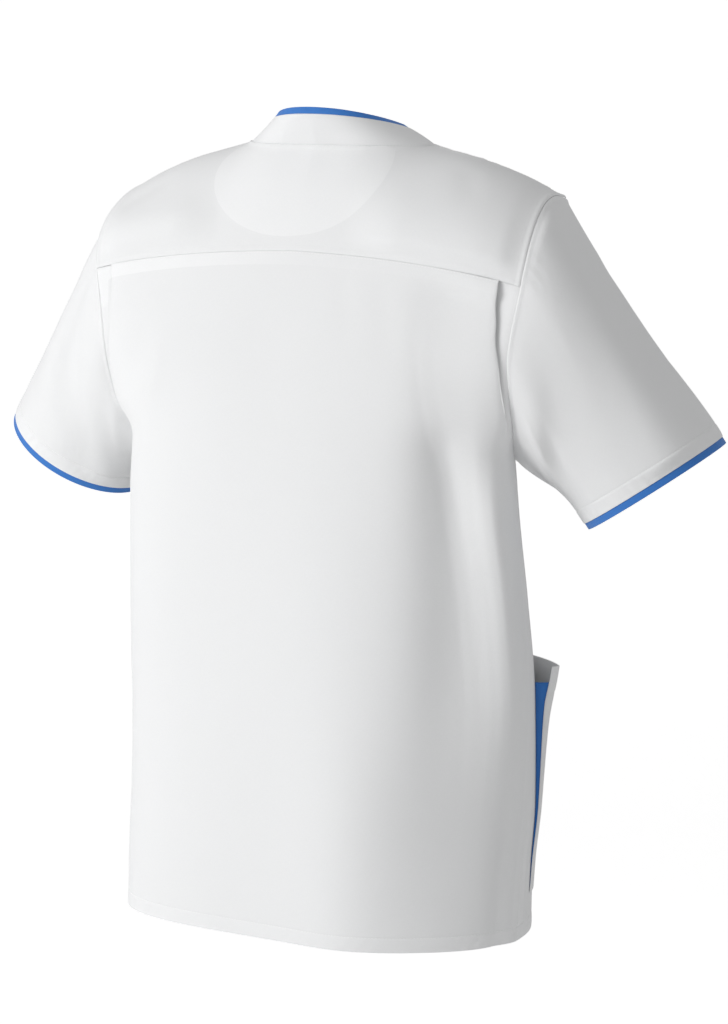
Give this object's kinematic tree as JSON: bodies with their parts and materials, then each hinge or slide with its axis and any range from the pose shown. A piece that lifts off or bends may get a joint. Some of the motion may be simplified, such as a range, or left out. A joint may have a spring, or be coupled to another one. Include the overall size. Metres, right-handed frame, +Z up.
{
  "type": "scrub top",
  "caption": "Short-sleeved slip-on work top of white twill, filled out as worn, with a V-neck band, back yoke, action pleats, patch pockets and blue contrast trims.",
  "frame": {"origin": "middle of the neck base, level with the two points where the shoulder seams meet the neckband", "axes": "+Z up along the wearer's neck, -Y out of the garment's front, -X towards the wearer's right"},
  "size_m": [0.7706, 0.2552, 0.7916],
  "materials": {
    "white_twill": "matte, fine woven twill",
    "blue_twill": "matte, fine woven twill"
  },
  "bodies": {
    "root": {"back_panel": "white_twill", "back_yoke": "white_twill", "front_panel": "white_twill", "sleeve_left": "white_twill", "sleeve_right": "white_twill", "neckband": "white_twill", "neck_facing": "white_twill", "pocket_left": "white_twill", "pocket_right": "white_twill", "sleeve_trim_left": "blue_twill", "sleeve_trim_right": "blue_twill", "neck_trim": "blue_twill", "pocket_gusset_left": "blue_twill", "pocket_gusset_right": "blue_twill"}
  },
  "joints": []
}
